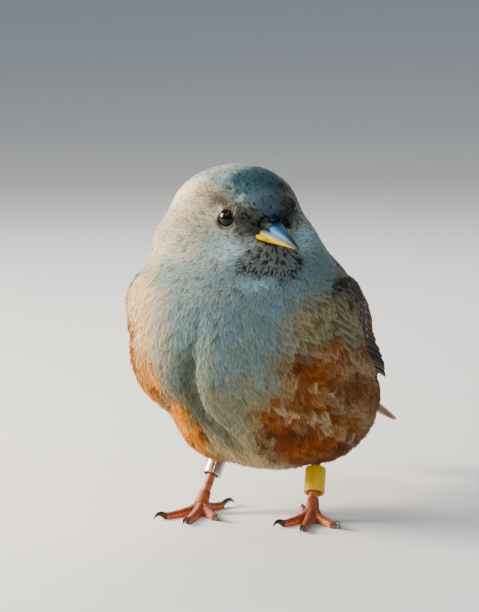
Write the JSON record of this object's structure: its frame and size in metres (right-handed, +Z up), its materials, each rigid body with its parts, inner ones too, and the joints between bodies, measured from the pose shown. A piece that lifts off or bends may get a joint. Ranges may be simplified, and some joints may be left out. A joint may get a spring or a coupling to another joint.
{
  "type": "alpine accentor",
  "caption": "Plump small songbird standing with fluffed plumage, head turned to its left, and a ring on each leg.",
  "frame": {"origin": "middle of the bird's box, at the floor that its toes stand on", "axes": "+Z up, the body faces -Y, the tail points to +Y, the bird's left side is +X"},
  "size_m": [0.0598, 0.1144, 0.09],
  "materials": {
    "plumage": "soft feathers, grey with rufous flanks",
    "flight_feathers": "stiff brown and black feathers with pale tips",
    "dark_horn": "satin horn",
    "yellow_horn": "satin horn",
    "eye": "wet gloss",
    "leg_skin": "scaly skin",
    "yellow_ring": "satin",
    "metal_ring": "satin"
  },
  "bodies": {
    "root": {"bill_lower": "yellow_horn", "bill_upper": "dark_horn", "claw_left_hind": "dark_horn", "claw_left_inner": "dark_horn", "claw_left_middle": "dark_horn", "claw_left_outer": "dark_horn", "claw_right_hind": "dark_horn", "claw_right_inner": "dark_horn", "claw_right_middle": "dark_horn", "claw_right_outer": "dark_horn", "eye_left": "eye", "eye_right": "eye", "foot_left": "leg_skin", "foot_right": "leg_skin", "head": "plumage", "neck": "plumage", "ring_metal": "metal_ring", "ring_yellow": "yellow_ring", "shank_left": "leg_skin", "shank_right": "leg_skin", "tail": "flight_feathers", "trunk": "plumage", "wing_left": "flight_feathers", "wing_right": "flight_feathers"}
  },
  "joints": []
}
